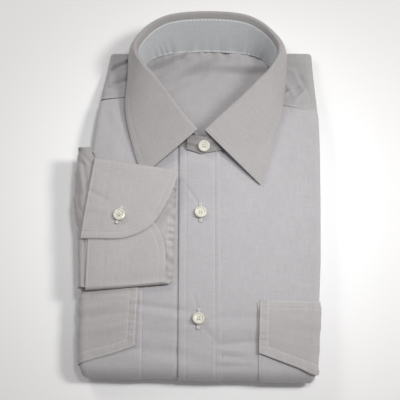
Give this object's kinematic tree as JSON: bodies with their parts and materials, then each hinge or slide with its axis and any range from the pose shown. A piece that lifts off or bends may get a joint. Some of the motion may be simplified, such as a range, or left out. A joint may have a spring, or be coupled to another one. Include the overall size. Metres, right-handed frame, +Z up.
{
  "type": "folded long-sleeve uniform shirt",
  "caption": "Buttoned grey uniform shirt folded flat and lying face up, with a spread collar, flap pockets and a cuffed sleeve laid over the front.",
  "frame": {"origin": "middle of the shirt's bounding box, on the surface it lies on", "axes": "+Y from the bottom fold to the collar, +Z up out of the front, +X towards the wearer's left"},
  "size_m": [0.238, 0.3738, 0.0423],
  "materials": {
    "body_cloth": "fine plain weave, slight sheen",
    "trim_cloth": "fine plain weave, interlined",
    "inner_cloth": "fine plain weave",
    "button_resin": "pearly, polished"
  },
  "bodies": {
    "root": {"folded_layers": "inner_cloth", "left_front": "body_cloth", "right_front": "body_cloth", "front_placket": "trim_cloth", "yoke": "body_cloth", "collar_stand": "trim_cloth", "collar_leaf": "trim_cloth", "sleeve": "trim_cloth", "cuff": "trim_cloth", "pocket_left": "trim_cloth", "pocket_right": "trim_cloth", "flap_left": "trim_cloth", "flap_right": "trim_cloth", "button_collar": "button_resin", "button_chest": "button_resin", "button_lower": "button_resin", "button_cuff": "button_resin"}
  },
  "joints": []
}
